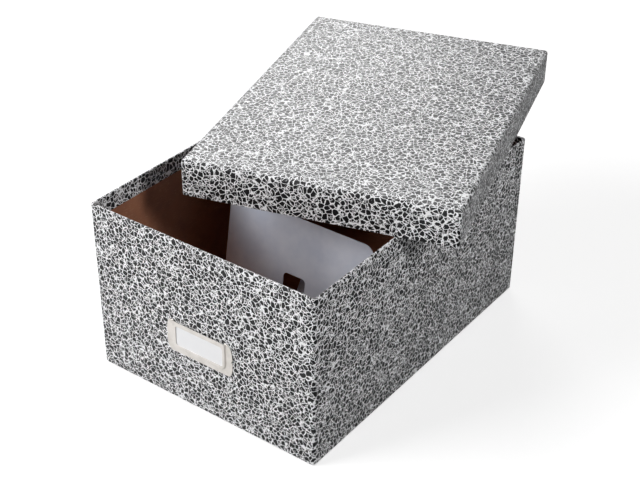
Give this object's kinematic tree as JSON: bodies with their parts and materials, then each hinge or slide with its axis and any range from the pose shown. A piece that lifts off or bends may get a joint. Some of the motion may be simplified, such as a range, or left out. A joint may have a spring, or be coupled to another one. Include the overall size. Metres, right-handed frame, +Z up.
{
  "type": "index card file box",
  "caption": "Fibreboard card file box covered in black and white marbled paper, with lift-off lid, label holder and follower plate.",
  "frame": {"origin": "centre of the base's flat underside", "axes": "+Z up, +Y along the box's length from the label holder's front to the back, +X to the right seen from the front"},
  "size_m": [0.2984, 0.409, 0.1838],
  "materials": {
    "agate_paper": "semi-gloss marbled black and white",
    "brown_board": "matte brown fibreboard",
    "kraft_tape": "matte kraft tape",
    "satin_nickel": "satin nickel plate",
    "white_card": "matte white card",
    "grey_steel": "smooth grey steel sheet"
  },
  "bodies": {
    "base": {"base_board": "brown_board", "base_wrap": "agate_paper", "base_corner_stay_front_left": "kraft_tape", "base_corner_stay_front_right": "kraft_tape", "base_corner_stay_back_left": "kraft_tape", "base_corner_stay_back_right": "kraft_tape", "label_holder": "satin_nickel", "label_card": "white_card", "lid_board": "brown_board", "lid_wrap": "agate_paper", "lid_corner_stay_front_left": "kraft_tape", "lid_corner_stay_front_right": "kraft_tape", "lid_corner_stay_back_left": "kraft_tape", "lid_corner_stay_back_right": "kraft_tape"},
    "follower": {"follower_plate": "grey_steel"}
  },
  "joints": [
    {"name": "follower_slide", "type": "slide", "parent": "base", "child": "follower", "axis": [0, 1, 0], "range_m": [-0.106, 0.1415]}
  ]
}
